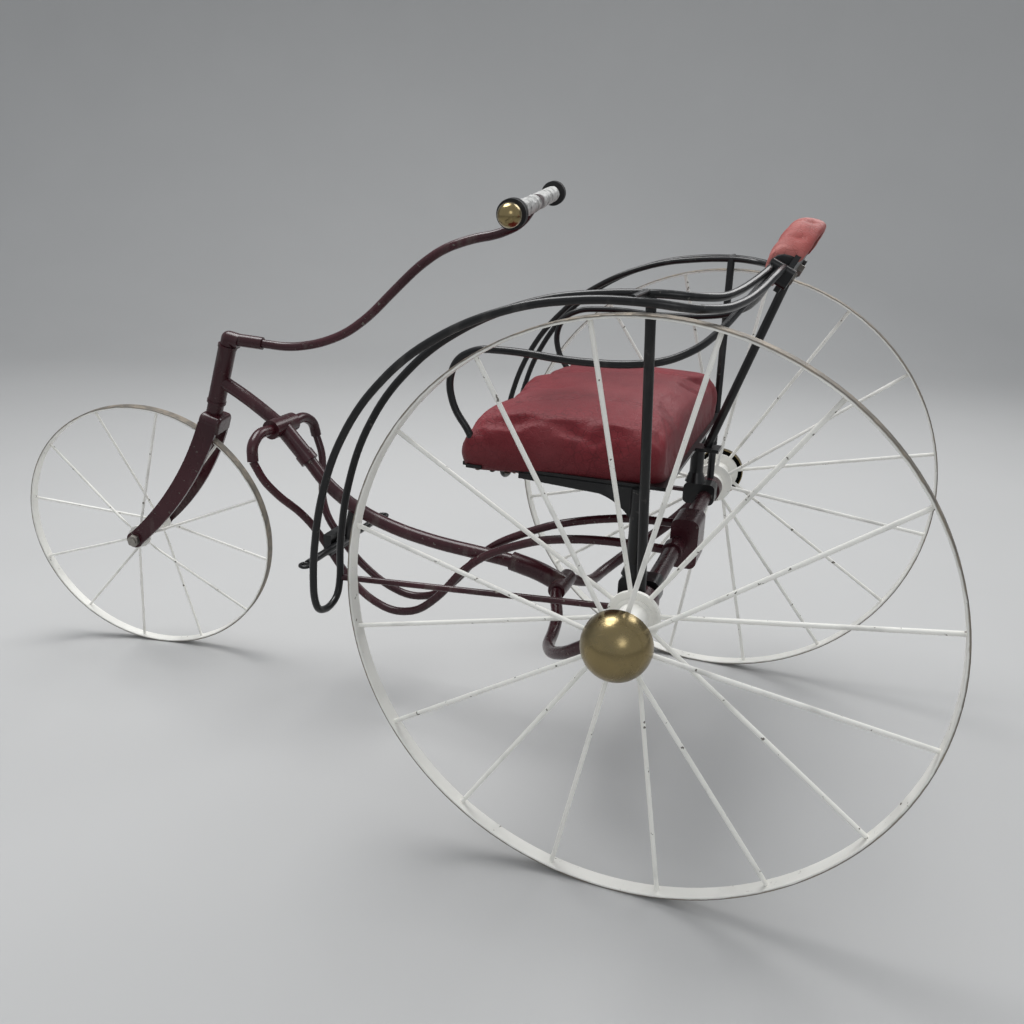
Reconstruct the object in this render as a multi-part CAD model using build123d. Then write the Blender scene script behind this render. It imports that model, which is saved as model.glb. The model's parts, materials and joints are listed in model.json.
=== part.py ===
from build123d import *
from math import acos, atan2, cos, pi, radians, sin, sqrt, tan
import os

# Child's tiller-steered tricycle: two large spoked wheels behind, a small one in front.
# Millimetres. +Z up, forward is -X, the rider's left is -Y. The origin is on the ground,
# midway along the length and on the centre line. The front wheel and tiller are drawn
# turned a little to the left, as the machine stands.

# ---- driving sizes -------------------------------------------------------------------
wheelbase = 811.5            # rear axle to front axle, wheels straight
track = 562.0                # between the rear wheels' middle planes
rear_radius = 305.0
front_radius = 195.5
head_rake = 17.5             # head axis, degrees back from the vertical
steer_at_rest = 11.0         # degrees, front wheel turned to the rider's left
head_top_rise = 184.0        # top of the head tube above the rear axle
head_top_forward = 653.0     # and in front of it
seat_rise = 115.0            # underside of the seat pan above the rear axle

# ---- wheels --------------------------------------------------------------------------
rear_rim_width = 17.0
front_rim_width = 14.0
rim_thick = 3.5
rear_spoke_count = 16
front_spoke_count = 12
rear_spoke_radius = 2.5
front_spoke_radius = 2.0
rear_flange_radius = 28.0
rear_flange_thick = 5.0
rear_flange_gap = 62.0       # middle to middle
rear_barrel_radius = 16.0
dome_radius = 35.0
dome_wall = 1.5
front_flange_radius = 17.0
front_flange_thick = 3.0
front_flange_gap = 60.0
front_barrel_radius = 10.0
spoke_phase = {"left": 0.459, "right": 0.385, "front": -0.22}    # how far each wheel has rolled

# ---- axles, bearings and fits -----------------------------------------------------------
axle_radius = 7.0            # rear axle shaft
front_axle_radius = 5.0
steerer_radius = 8.0
running_clearance = 0.05     # radial, where a shaft turns in its bore
end_clearance = 0.4          # along the axis, between a turning piece and a still one
cloth_clearance = 0.5        # round the cushion and the back pad
nut_height = 8.0

# ---- tubes and rods ------------------------------------------------------------------------
head_radius = 12.5
cup_radius = 13.5
cup_height = 4.0
head_length = 81.0
neck_length = 15.0
backbone_radius = 9.5
sleeve_radius = 12.0
side_rod_radius = 5.5
arm_radius = 7.5             # rear arms
axle_tube_radius = 10.0
column_radius = 9.5
guard_radius = 4.0
guard_half_gap = 28.0        # each guard rod beside the wheel's middle plane
rail_radius = 4.0
stay_radius = 5.0
lower_stay_radius = 3.5
tiller_radius = 6.0
elbow_radius = 11.0
socket_radius = 8.8
handle_radius = 6.0
handle_half = 188.0          # middle of the handle to the middle of a ball
ball_radius = 13.5
grip_radius = 10.5
collar_radius = 16.5
collar_width = 8.0

# ---- seat and back ------------------------------------------------------------------------------
seat_depth = 226.0
seat_half_width = 189.0
cushion_height = 48.0
pan_thick = 4.0
board_thick = 6.0
pad_radius = 25.0

# ---- places that follow from the sizes --------------------------------------------------------
rake = radians(head_rake)
turn = radians(steer_at_rest)
rear_half = track / 2
bearing_y = rear_half - 63.0             # middle of the bearing beside each rear hub
bearing_half = 12.0
hub_inner_y = bearing_y + bearing_half + end_clearance
outer_flange_y = rear_half + rear_flange_gap / 2
hub_outer_y = outer_flange_y + rear_flange_thick / 2
axle_height = rear_radius

# The front axle sits so that the turned and leaning wheel just touches the ground.
lean = sin(rake) * sin(turn)
wheel_drop = front_radius * sqrt(1 - lean ** 2) + front_rim_width / 2 * lean
head_top_height = axle_height + head_top_rise
trail_reach = head_top_forward - wheelbase
axle_down = (head_top_height - wheel_drop - trail_reach * tan(rake) * cos(turn)) / (
    cos(rake) + sin(rake) * tan(rake) * cos(turn)
)
axle_back = trail_reach / cos(rake) + axle_down * tan(rake)

# The whole length, so that the origin is midway along it.
tilt = cos(rake) * sin(turn)
front_reach = (
    head_top_forward + axle_down * sin(rake) - axle_back * cos(turn) * cos(rake)
    + front_radius * sqrt(1 - tilt ** 2) + front_rim_width / 2 * tilt
)
axle_x = (front_reach - rear_radius) / 2


def place(forward, side, rise):
    """A point by its distance in front of the rear axle, its side and its rise above it."""
    return Vector(axle_x - forward, side, axle_height + rise)


head_axis = Vector(sin(rake), 0, cos(rake))
back_straight = Vector(cos(rake), 0, -sin(rake))
back_turned = back_straight * cos(turn) + Vector(0, 1, 0) * sin(turn)
head_top = place(head_top_forward, 0, head_top_rise)
straight_head = Plane(origin=head_top, x_dir=back_straight, z_dir=head_axis)
turned_head = Plane(origin=head_top, x_dir=back_turned, z_dir=head_axis)


# ---- shared shapes --------------------------------------------------------------------------------
def bent_path(points, share=0.45):
    """Straight runs joined by tangent arcs, each as large as its two runs allow."""
    points = [Vector(*p) if isinstance(p, tuple) else p for p in points]
    edges = []
    last = points[0]
    for before, corner, after in zip(points, points[1:], points[2:]):
        inward = (corner - before).normalized()
        outward = (after - corner).normalized()
        bend = acos(max(-1.0, min(1.0, inward.dot(outward))))
        if bend < radians(0.2):
            continue
        reach = share * min((corner - before).length, (after - corner).length)
        radius = reach / tan(bend / 2)
        start = corner - inward * reach
        end = corner + outward * reach
        middle = corner + (outward - inward).normalized() * (radius / cos(bend / 2) - radius)
        edges += [Line(last, start), ThreePointArc(start, middle, end)]
        last = end
    edges.append(Line(last, points[-1]))
    return Wire(edges)


def rod(points, radius, share=0.45):
    """A round rod or tube along a bent path."""
    path = bent_path(points, share)
    section = Plane(origin=path @ 0, z_dir=path % 0) * Circle(radius)
    return sweep(section, path=path).solid()


def bar(start, end, radius):
    """A straight round bar between two points."""
    direction = end - start
    plane = Plane(origin=start, z_dir=direction)
    return plane * Cylinder(radius, direction.length, align=(Align.CENTER, Align.CENTER, Align.MIN))


def across(centre, radius, length, bore=0.0):
    """A round piece whose axis runs across the machine, with a bore or without."""
    plane = Plane(origin=centre, x_dir=(1, 0, 0), z_dir=(0, 1, 0))
    piece = plane * Cylinder(radius, length)
    return piece - plane * Cylinder(bore, length * 2) if bore else piece


def upright(radius, low, high, bore=0.0):
    """A round piece on the head axis, between two heights along it."""
    middle = Location((0, 0, (low + high) / 2))
    piece = middle * Cylinder(radius, high - low)
    return piece - middle * Cylinder(bore, (high - low) * 2) if bore else piece


def hexagon(centre, across_flats, height, plane_x, plane_z):
    """A hexagonal nut or bolt head standing on a point."""
    plane = Plane(origin=centre, x_dir=plane_x, z_dir=plane_z)
    return plane * extrude(RegularPolygon(across_flats / 2, 6, major_radius=False), height)


def cut(piece, *tools):
    """The piece with what it meets taken out of it, so that the faces touch."""
    for tool in tools:
        piece = piece - tool
    return piece


parts = {}
sides = (("left", -1), ("right", 1))


# ---- wheels -----------------------------------------------------------------------------------------
def rim(radius, width):
    """A bare flat steel band, slightly rounded on its edges."""
    band = Cylinder(radius, width) - Cylinder(radius - rim_thick, width * 2)
    return fillet(band.edges(), 0.8)


def spokes(count, radius, start_radius, end_radius, spread, phase):
    """Round spokes from the two flanges in turn to the middle of the band."""
    pieces = []
    for i in range(count):
        angle = 2 * pi * (i + phase) / count
        offset = spread / 2 if i % 2 else -spread / 2
        inner = Vector(start_radius * cos(angle), start_radius * sin(angle), offset)
        outer = Vector(end_radius * cos(angle), end_radius * sin(angle), 0)
        pieces.append(bar(inner, outer, radius))
    return pieces


def trimmed_spokes(pieces, radius, width, hub):
    """Each spoke ends on the band's inner face and on the hub."""
    inside = Cylinder(radius - rim_thick, width * 4)
    return Compound([(piece & inside - hub).solid() for piece in pieces])


def wheel_plane(centre, spin_axis, up):
    return Plane(origin=centre, x_dir=up, z_dir=spin_axis)


def rear_hub():
    """Barrel and two dished flanges, drawn with +Z outward; the bore turns on the axle."""
    inner_end = hub_inner_y - rear_half
    outer_end = hub_outer_y - rear_half
    hub = Location((0, 0, (inner_end + outer_end) / 2)) * Cylinder(rear_barrel_radius, outer_end - inner_end)
    for offset in (-rear_flange_gap / 2, rear_flange_gap / 2):
        hub += Location((0, 0, offset)) * Cylinder(rear_flange_radius, rear_flange_thick)
    lip_radius = rear_flange_radius - 3.0
    recess = Cylinder(lip_radius, 1.5) - Cylinder(rear_barrel_radius + 4, 3)
    hub -= Location((0, 0, -rear_flange_gap / 2 + rear_flange_thick / 2 - 0.75)) * recess
    return hub - Cylinder(axle_radius + running_clearance, 400)


def hub_dome():
    """Spun cap over the axle end, open towards the hub."""
    base = hub_outer_y - rear_half
    outside = Sphere(dome_radius) & Location((0, 0, dome_radius)) * Box(*[dome_radius * 2] * 3)
    skirt = Location((0, 0, 2)) * Cylinder(dome_radius, 4)
    hollow = dome_radius - dome_wall
    inside = Sphere(hollow) & Location((0, 0, hollow)) * Box(*[hollow * 2] * 3)
    foot = Location((0, 0, 2)) * Cylinder(hollow, 4)
    shell = (Location((0, 0, 4)) * outside + skirt) - (Location((0, 0, 4)) * inside + foot)
    seat = Cylinder(dome_radius, 1.6, align=(Align.CENTER, Align.CENTER, Align.MIN))
    seat -= Cylinder(rear_barrel_radius, 10)
    return Location((0, 0, base)) * (shell + seat)


def build_rear_wheels():
    hub = rear_hub()
    start = rear_flange_radius - 1.0
    end = rear_radius - rim_thick + 4
    shapes = {"rim": rim(rear_radius, rear_rim_width), "hub": hub, "dome": hub_dome()}
    for side, s in sides:
        raw = spokes(
            rear_spoke_count, rear_spoke_radius, start, end, rear_flange_gap, spoke_phase[side]
        )
        shapes["spokes"] = trimmed_spokes(raw, rear_radius, rear_rim_width, hub)
        plane = wheel_plane(place(0, s * rear_half, 0), (0, s, 0), (0, 0, 1))
        for name, shape in shapes.items():
            parts[f"wheel_{name}_{side}"] = plane * shape


def build_front_wheel():
    hub_half = front_flange_gap / 2 + front_flange_thick / 2
    hub = Cylinder(front_barrel_radius, hub_half * 2)
    for offset in (-front_flange_gap / 2, front_flange_gap / 2):
        hub += Location((0, 0, offset)) * Cylinder(front_flange_radius, front_flange_thick)
    hub -= Cylinder(front_axle_radius + running_clearance, 200)
    start = front_flange_radius - 1.0
    end = front_radius - rim_thick + 4
    raw = spokes(
        front_spoke_count, front_spoke_radius, start, end, front_flange_gap, spoke_phase["front"]
    )
    centre = turned_head.from_local_coords(Vector(axle_back, 0, -axle_down))
    plane = wheel_plane(centre, turned_head.y_dir, turned_head.z_dir)
    parts["front_rim"] = plane * rim(front_radius, front_rim_width)
    parts["front_spokes"] = plane * trimmed_spokes(raw, front_radius, front_rim_width, hub)
    parts["front_hub"] = plane * hub


# ---- steering: drawn on the head axis with x back, z up, then turned -----------------------------
fork_half = front_flange_gap / 2 + front_flange_thick / 2 + 8.0
blade_thick = 6.0
blade_face = fork_half + blade_thick
eye_radius = 12.5
spot_radius = 10.0              # flat faces turned on the eyes for the spacers and nuts
crown_height = 24.0
crown_half_depth = 16.0
crown_half_width = 22.5
crown_top = -(cup_height * 2 + head_length + neck_length)
cup_top = 0.0
cup_bottom = cup_top - head_length - 2 * cup_height


def build_steerer():
    neck_top = cup_bottom - end_clearance
    neck = upright(head_radius - 1.0, crown_top, neck_top)
    stem = upright(steerer_radius, neck_top, cup_top + end_clearance)
    parts["steerer"] = turned_head * (neck + stem)


def build_fork():
    """A rounded crown and two wide flat blades that splay out and sweep forward to round eyes."""
    middle = Location((3, 0, crown_top - crown_height / 2))
    crown = middle * Box(crown_half_depth * 2, crown_half_width * 2, crown_height)
    crown = fillet(crown.edges().filter_by(Axis.X).sort_by(Axis.Z)[-2:], 10)
    crown = fillet(crown.edges().filter_by(Axis.Z), 5)
    parts["fork_crown"] = turned_head * crown
    eye = (axle_back, -axle_down)
    blade_top = crown_top - crown_height / 2
    front_edge = [(-12, blade_top), (-26, blade_top * 0.55 + eye[1] * 0.45), (eye[0] - 9, eye[1] + 7)]
    rear_edge = [(eye[0] + 8, eye[1] - 8), (-9, blade_top * 0.4 + eye[1] * 0.6), (17, blade_top)]
    outline = make_face([
        ThreePointArc(*front_edge), Line(front_edge[2], rear_edge[0]),
        ThreePointArc(*rear_edge), Line(rear_edge[2], front_edge[0]),
    ])
    middle_y = fork_half + blade_thick / 2
    splay = atan2(middle_y - crown_half_width + blade_thick / 2, blade_top - eye[1])
    sheet = extrude(Plane.XZ * outline, blade_thick / 2, both=True)
    for side, s in sides:
        hinge = Location((0, s * middle_y, eye[1]), (s * splay * 180 / pi, 0, 0))
        blade = hinge * (Location((0, 0, -eye[1])) * sheet)
        eye_middle = Vector(eye[0], s * middle_y, eye[1])
        blade = cut(blade + across(eye_middle, eye_radius, blade_thick), crown)
        for face, way in ((fork_half, -1), (blade_face, 1)):
            spot = Vector(eye[0], s * (face + way * blade_thick), eye[1])
            blade = blade - across(spot, spot_radius, blade_thick * 2)
        blade = main_piece(blade) - across(Vector(eye[0], 0, eye[1]), front_axle_radius, 400)
        parts[f"fork_blade_{side}"] = turned_head * blade


def build_front_axle():
    eye = Vector(axle_back, 0, -axle_down)
    shaft = across(eye, front_axle_radius, (blade_face + nut_height) * 2)
    inner_gap = fork_half - front_flange_gap / 2 - front_flange_thick / 2
    spacers = []
    nuts = []
    for _, s in sides:
        length = inner_gap - end_clearance
        spacer_middle = eye + Vector(0, s * (fork_half - length / 2), 0)
        spacers.append(across(spacer_middle, front_axle_radius + 3, length, front_axle_radius))
        seat = eye + Vector(0, s * blade_face, 0)
        nut = hexagon(seat, 16, nut_height - 2, (1, 0, 0), (0, s, 0))
        nuts.append(nut - across(seat, front_axle_radius, 60))
    parts["front_axle"] = turned_head * shaft
    parts["front_spacers"] = turned_head * Compound([p.solid() for p in spacers])
    parts["front_axle_nuts"] = turned_head * Compound([p.solid() for p in nuts])


tiller_route = [
    (44, 0, 19), (86, 0, 28), (125, 0, 48), (158, 0, 75), (183, 0, 109), (206, 0, 153),
    (229, 0, 195), (254, 0, 228), (287, 0, 253), (317, 0, 269), (342, 0, 292), (350, 0, 322),
]


def build_tiller():
    """Elbow on the steerer, socket, S-bent tiller tube and its cross handle."""
    elbow_low = cup_top + end_clearance
    bend_height = elbow_low + 9
    socket_start = Vector(15, 0, bend_height + 1)
    socket_end = Vector(*tiller_route[0]) + Vector(4, 0, 1)
    elbow = upright(elbow_radius, elbow_low, bend_height)
    elbow += Location((0, 0, bend_height)) * Sphere(elbow_radius)
    elbow += bar(Vector(0, 0, bend_height), socket_start, elbow_radius)
    elbow += bar(Vector(0, 0, bend_height), socket_end, socket_radius)
    elbow -= upright(elbow_radius * 2, elbow_low - elbow_radius * 2, elbow_low)
    tube = rod([socket_start + (socket_end - socket_start) * 0.2] + tiller_route, tiller_radius)
    centre = Vector(*tiller_route[-1])
    core = across(centre, handle_radius, handle_half * 2)
    tube = cut(tube + across(centre, handle_radius + 3.0, 26), core)
    parts["tiller_elbow"] = turned_head * cut(elbow, tube)
    parts["tiller"] = turned_head * tube
    parts["handle_bar"] = turned_head * core
    build_handle_fittings(centre, core)


def build_handle_fittings(centre, core):
    """Grips, rubber collars with a bright ring between, and a ball at each end."""
    ball_start = handle_half - ball_radius * 0.75
    ring_width = 2.0
    grips, collars, rings, balls = [], [], [], []
    for _, s in sides:
        edge = ball_start
        for group, width, radius in (
            (collars, collar_width, collar_radius),
            (rings, ring_width, collar_radius - 1.5),
            (collars, collar_width - 1.5, collar_radius),
        ):
            middle = centre + Vector(0, s * (edge - width / 2), 0)
            group.append(across(middle, radius, width, handle_radius))
            edge -= width
        grip_length = edge - 13
        middle = centre + Vector(0, s * (13 + grip_length / 2), 0)
        grips.append(across(middle, grip_radius, grip_length, handle_radius))
        ball = Location(centre + Vector(0, s * handle_half, 0)) * Sphere(ball_radius)
        keep = Location(centre + Vector(0, s * (ball_start + 50), 0)) * Box(100, 100, 100)
        balls.append((ball & keep) - core)
    for name, group in (("grips", grips), ("collars", collars), ("rings", rings), ("balls", balls)):
        parts[f"handle_{name}"] = turned_head * Compound([p.solid() for p in group])


# ---- frame ------------------------------------------------------------------------------------------
def span(share):
    """Distance in front of the rear axle, as a share of the way to the head tube's top."""
    return share * head_top_forward


boss_forward = span(0.876)
boss_rise = 77.0
boss_half = 27.0
boss_radius = 13.5
fitting_forward = span(0.229)
fitting_rise = -90.0


def backbone_points():
    """Centre line of the backbone from the head tube back to the rear fitting."""
    neck = straight_head.from_local_coords(Vector(0, 0, -head_length * 0.66))
    shares = [
        (0.964, 113), (0.923, 97), (0.876, 77), (0.809, 31), (0.774, 4), (0.726, -19),
        (0.666, -38), (0.590, -52), (0.502, -61), (0.414, -65), (0.339, -69), (0.279, -77),
    ]
    route = [place(span(share), 0, rise) for share, rise in shares]
    return [neck] + route + [place(fitting_forward, 0, fitting_rise)]


def build_head():
    tube = upright(head_radius, cup_bottom + cup_height, cup_top - cup_height, steerer_radius + 1.5)
    bore = steerer_radius + running_clearance
    upper = upright(cup_radius, cup_top - cup_height, cup_top, bore)
    lower = upright(cup_radius, cup_bottom, cup_bottom + cup_height, bore)
    parts["head_tube"] = straight_head * tube
    parts["head_cup_upper"] = straight_head * upper
    parts["head_cup_lower"] = straight_head * lower


def build_backbone():
    """Curved backbone, its thick sleeve behind the cross boss, and the rear fitting."""
    points = backbone_points()
    solid_head = straight_head * upright(head_radius, cup_bottom, cup_top)
    boss_centre = place(boss_forward, 0, boss_rise)
    boss = across(boss_centre, boss_radius, boss_half * 2)
    whole = rod(points, backbone_radius)
    sleeve = bar(points[3], points[4], sleeve_radius)
    sleeve_line = (points[4] - points[3]).normalized()
    sleeve += bar(points[4] - sleeve_line * 14, points[4], sleeve_radius + 1.5)
    fitting = rod(points[-3:], sleeve_radius + 1)
    cross = across(points[-1], arm_radius + 4, 52)
    whole = cut(whole, solid_head, boss, cross)
    pieces = sorted(whole.solids(), key=lambda piece: piece.center().X)
    parts["backbone_front"] = pieces[0]
    parts["backbone_main"] = pieces[-1]
    parts["cross_boss"] = boss
    parts["backbone_sleeve"] = cut(sleeve, boss, pieces[-1])
    parts["rear_fitting"] = cut(fitting + cross, pieces[-1])


elbow_turn = [(0.875, 27.0, 77), (0.875, 56, 79), (0.871, 77, 66), (0.867, 80, 46)]
side_rod_route = [
    (0.867, 80, 46), (0.849, 76, 20), (0.832, 56, -8), (0.812, 32, -33), (0.790, 20, -56),
    (0.753, 18, -88), (0.710, 22, -121), (0.655, 26, -149), (0.593, 28, -163), (0.533, 29, -155),
    (0.482, 29, -126), (0.433, 28, -84), (0.387, 27, -58), (0.329, 29, -38), (0.264, 33, -20),
    (0.188, 40, -8), (0.113, 47, -1), (0.0, 50, 0),
]
eye_half = 9.0
eye_outer = 12.5
eye_y = 50.0


def build_side_rods():
    """Elbows at the cross boss and the long rods that dip to the foot rest and rise to the axle."""
    axle_line = across(place(0, 0, 0), axle_tube_radius, track)
    for side, s in sides:
        elbow = rod([place(span(f), s * y, rise) for f, y, rise in elbow_turn], side_rod_radius + 2)
        elbow = cut(elbow, parts["cross_boss"])
        eye = across(place(0, s * eye_y, 0), eye_outer, eye_half * 2)
        long_rod = rod([place(span(f), s * y, rise) for f, y, rise in side_rod_route], side_rod_radius)
        parts[f"cross_elbow_{side}"] = elbow
        parts[f"side_rod_{side}"] = main_piece(cut(long_rod, eye, elbow))
        parts[f"rod_eye_{side}"] = cut(eye, axle_line)


def build_rear_arms():
    """S-bent arms from the rear fitting out to the axle bearings."""
    start_y = 26.0
    route = [(0.0, 0), (0.06, -10), (0.18, -24), (0.34, -37), (0.52, -42), (0.70, -36), (0.86, -18),
             (0.96, 14), (1.0, 52)]
    forwards = [0.229, 0.224, 0.208, 0.201, 0.195, 0.171, 0.131, 0.075, 0.023]
    for side, s in sides:
        points = []
        for (share, drop), forward in zip(route, forwards):
            y = start_y + share * (bearing_y - start_y)
            points.append(place(span(forward), s * y, fitting_rise + drop * 0.9 + share * 22))
        housing = across(place(0, s * bearing_y, 0), bearing_radius, bearing_half * 2)
        points[-1] = place(0, s * bearing_y, 0)
        arm = rod(points, arm_radius)
        parts[f"rear_arm_{side}"] = main_piece(cut(arm, housing, parts["rear_fitting"]))


bearing_radius = 17.0
block_half = 24.0


def build_axle():
    """Fixed axle: shaft, tube over it, centre block, end bearings and the nuts under the domes."""
    centre = place(0, 0, 0)
    journal_end = hub_outer_y + nut_height + 4
    tube_half = bearing_y - bearing_half
    shaft = across(centre, axle_radius, journal_end * 2)
    parts["axle_shaft"] = shaft
    parts["axle_tube"] = across(centre, axle_tube_radius, tube_half * 2, axle_radius)
    block = Location(place(-8, 0, 0)) * Box(34, block_half * 2, 62)
    block = fillet(block.edges().filter_by(Axis.Y), 9)
    parts["axle_block"] = block - across(centre, axle_tube_radius, track)
    nuts = []
    for side, s in sides:
        housing = across(place(0, s * bearing_y, 0), bearing_radius, bearing_half * 2, axle_radius)
        parts[f"axle_bearing_{side}"] = housing
        seat = place(0, s * (hub_outer_y + end_clearance), 0)
        nuts.append(hexagon(seat, 20, nut_height, (1, 0, 0), (0, s, 0)) - shaft)
    parts["axle_nuts"] = Compound([nut.solid() for nut in nuts])


# ---- foot rest below the backbone ------------------------------------------------------------------
foot_forward = span(0.724)
foot_rise = -77.0
foot_half = 104.0
foot_radius = 5.0


def build_foot_rest():
    centre = place(foot_forward, 0, foot_rise)
    foot_bar = across(centre, foot_radius, foot_half * 2)
    rings = []
    for _, s in sides:
        ring_centre = centre + Vector(0, s * (foot_half + 6.0), 0)
        ring = Plane(origin=ring_centre, x_dir=(0, 1, 0), z_dir=(0, 0, 1)) * Torus(6.5, 2.5)
        rings.append(cut(ring, foot_bar).solid())
    plate = Location(centre + Vector(-11, 0, 0)) * Box(12, 70, 30)
    plate = cut(plate, foot_bar)
    drop = bar(centre, place(span(0.705), 0, -26), foot_radius + 1)
    drop = cut(drop, foot_bar, plate, parts["backbone_main"])
    parts["foot_bar"] = foot_bar + rings
    parts["foot_hanger"] = main_piece(drop)
    parts["foot_plate"] = main_piece(cut(plate, parts["side_rod_left"], parts["side_rod_right"]))


# ---- seat -----------------------------------------------------------------------------------------------
pan_top = seat_rise + pan_thick
pan_back = -10.0             # the pan's rear edge, in front of the axle (negative is behind)
column_y = bearing_y - 33.0
column_forward = 16.0
foot_block = 30.0
ear_y = seat_half_width - 1.0
ear_forward = seat_depth + pan_back - 16.0


def build_seat():
    """Columns clamped on the axle tube, pressed pan with ears, gussets and the cushion's block."""
    pan_middle = place(pan_back + seat_depth / 2, 0, seat_rise + pan_thick / 2)
    pan = Location(pan_middle) * Box(seat_depth, seat_half_width * 2 - 6, pan_thick)
    for _, s in sides:
        ear = Location(place(ear_forward, s * (ear_y - 3), seat_rise + pan_thick / 2))
        pan += ear * Box(18, 18, pan_thick)
    tongue = Location(place(pan_back - 10, 0, seat_rise + pan_thick / 2))
    pan += tongue * Box(34, 26, pan_thick)
    parts["seat_pan"] = pan
    axle_line = across(place(0, 0, 0), axle_tube_radius, track)
    for side, s in sides:
        centre = place(8, s * column_y, 4)
        clamp = fillet((Location(centre) * Box(44, 26, foot_block)).edges().filter_by(Axis.Y), 8)
        foot_top = 4 + foot_block / 2
        column = bar(place(column_forward, s * column_y, foot_top),
                     place(column_forward, s * column_y, seat_rise), column_radius)
        low = place(column_forward, s * column_y, foot_top)
        skirt = Plane(origin=low) * Cone(column_radius + 5, column_radius, 14,
                                         align=(Align.CENTER, Align.CENTER, Align.MIN))
        parts[f"seat_column_{side}"] = cut(column + skirt + clamp, axle_line)
        parts[f"seat_gusset_{side}"] = cut(gusset(s), column)


def gusset(s):
    """Curved iron below the pan that runs forward from the column's head."""
    tip = ear_forward - 50
    corners = [
        (column_forward, seat_rise), (tip, seat_rise), (tip, seat_rise - 6),
        (column_forward + 44, seat_rise - 11), (column_forward, seat_rise - 50),
    ]
    places = [place(forward, s * column_y, rise) for forward, rise in corners]
    sheet = make_face([
        Line(places[0], places[1]), Line(places[1], places[2]), Line(places[2], places[3]),
        ThreePointArc(places[3], place(column_forward + 22, s * column_y, seat_rise - 21), places[4]),
        Line(places[4], places[0]),
    ])
    return extrude(sheet, 6, dir=(0, 1, 0), both=False).moved(Location((0, -3, 0)))


def build_cushion():
    """The cushion's plain block, clear of the pan, the rails and the back stay."""
    size = (seat_depth - 8, seat_half_width * 2 - 2, cushion_height)
    centre = place(pan_back + seat_depth / 2 + 2, 0, pan_top + cloth_clearance + cushion_height / 2)
    block = Location(centre) * Box(*size)
    block = fillet(block.edges().filter_by(Axis.Z), 16)
    block = fillet(block.faces().sort_by(Axis.Z)[-1].edges(), 12)
    for _, s in sides:
        block = cut(block, rod(rail_points(s)[:4], rail_radius + cloth_clearance))
    parts["seat_cushion"] = main_piece(block)


def build_seat_rings():
    """Small wire loops under the pan's front edge."""
    rings = []
    for _, s in sides:
        top = place(ear_forward - 32, s * (seat_half_width - 40), seat_rise - 7.0)
        ring = Plane(origin=top, x_dir=(0, 1, 0), z_dir=(1, 0, 0)) * Torus(5.6, 1.4)
        rings.append(ring.solid())
    parts["seat_rings"] = Compound(rings)


rail_route = [
    (ear_forward, ear_y, pan_top), (ear_forward + 5, ear_y, 150), (ear_forward + 26, ear_y, 177),
    (ear_forward + 33, ear_y, 205), (ear_forward + 24, ear_y + 1, 232), (ear_forward - 2, ear_y + 3, 245),
    (150, ear_y + 11, 247), (96, ear_y + 15, 243), (40, ear_y + 17, 244), (-2, ear_y + 13, 250),
    (-30, ear_y - 7, 263), (-46, ear_y - 43, 279), (-57, ear_y - 83, 296), (-68, 74, 313), (-78, 50, 329),
]


def rail_points(s):
    return [place(forward, s * y, rise) for forward, y, rise in rail_route]


def build_rails():
    """Thin arm rails that rise from the pan's ears, loop back and run in to the back lugs."""
    for side, s in sides:
        rail = rod(rail_points(s), rail_radius)
        rail = main_piece(cut(rail, parts["seat_pan"], parts[f"back_lug_{side}"]))
        parts["back_pad"] = main_piece(cut(parts["back_pad"], rail))
        parts[f"arm_rail_{side}"] = rail


# ---- wheel guards -----------------------------------------------------------------------------------------
# Angle above the horizontal through the axle, and the gap outside the wheel there.
guard_profile = [(4, 30), (14, 31), (25, 34), (36, 35), (48, 33), (60, 27.5), (72, 21.5), (83, 15.5)]
guard_low = -14.0            # where the two rods turn into their U, from the axle's height
guard_bow = 27.0
lug_y = 83.0


def guard_rod(s, offset, tail):
    """The points of one rod of a guard from the top of its U to the back lug."""
    y = rear_half + offset
    points = []
    for angle, gap in guard_profile:
        reach = rear_radius + gap
        points.append(place(reach * cos(radians(angle)), s * y, reach * sin(radians(angle))))
    return points + [place(forward, s * side, rear_radius + rise) for forward, side, rise in tail]


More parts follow.
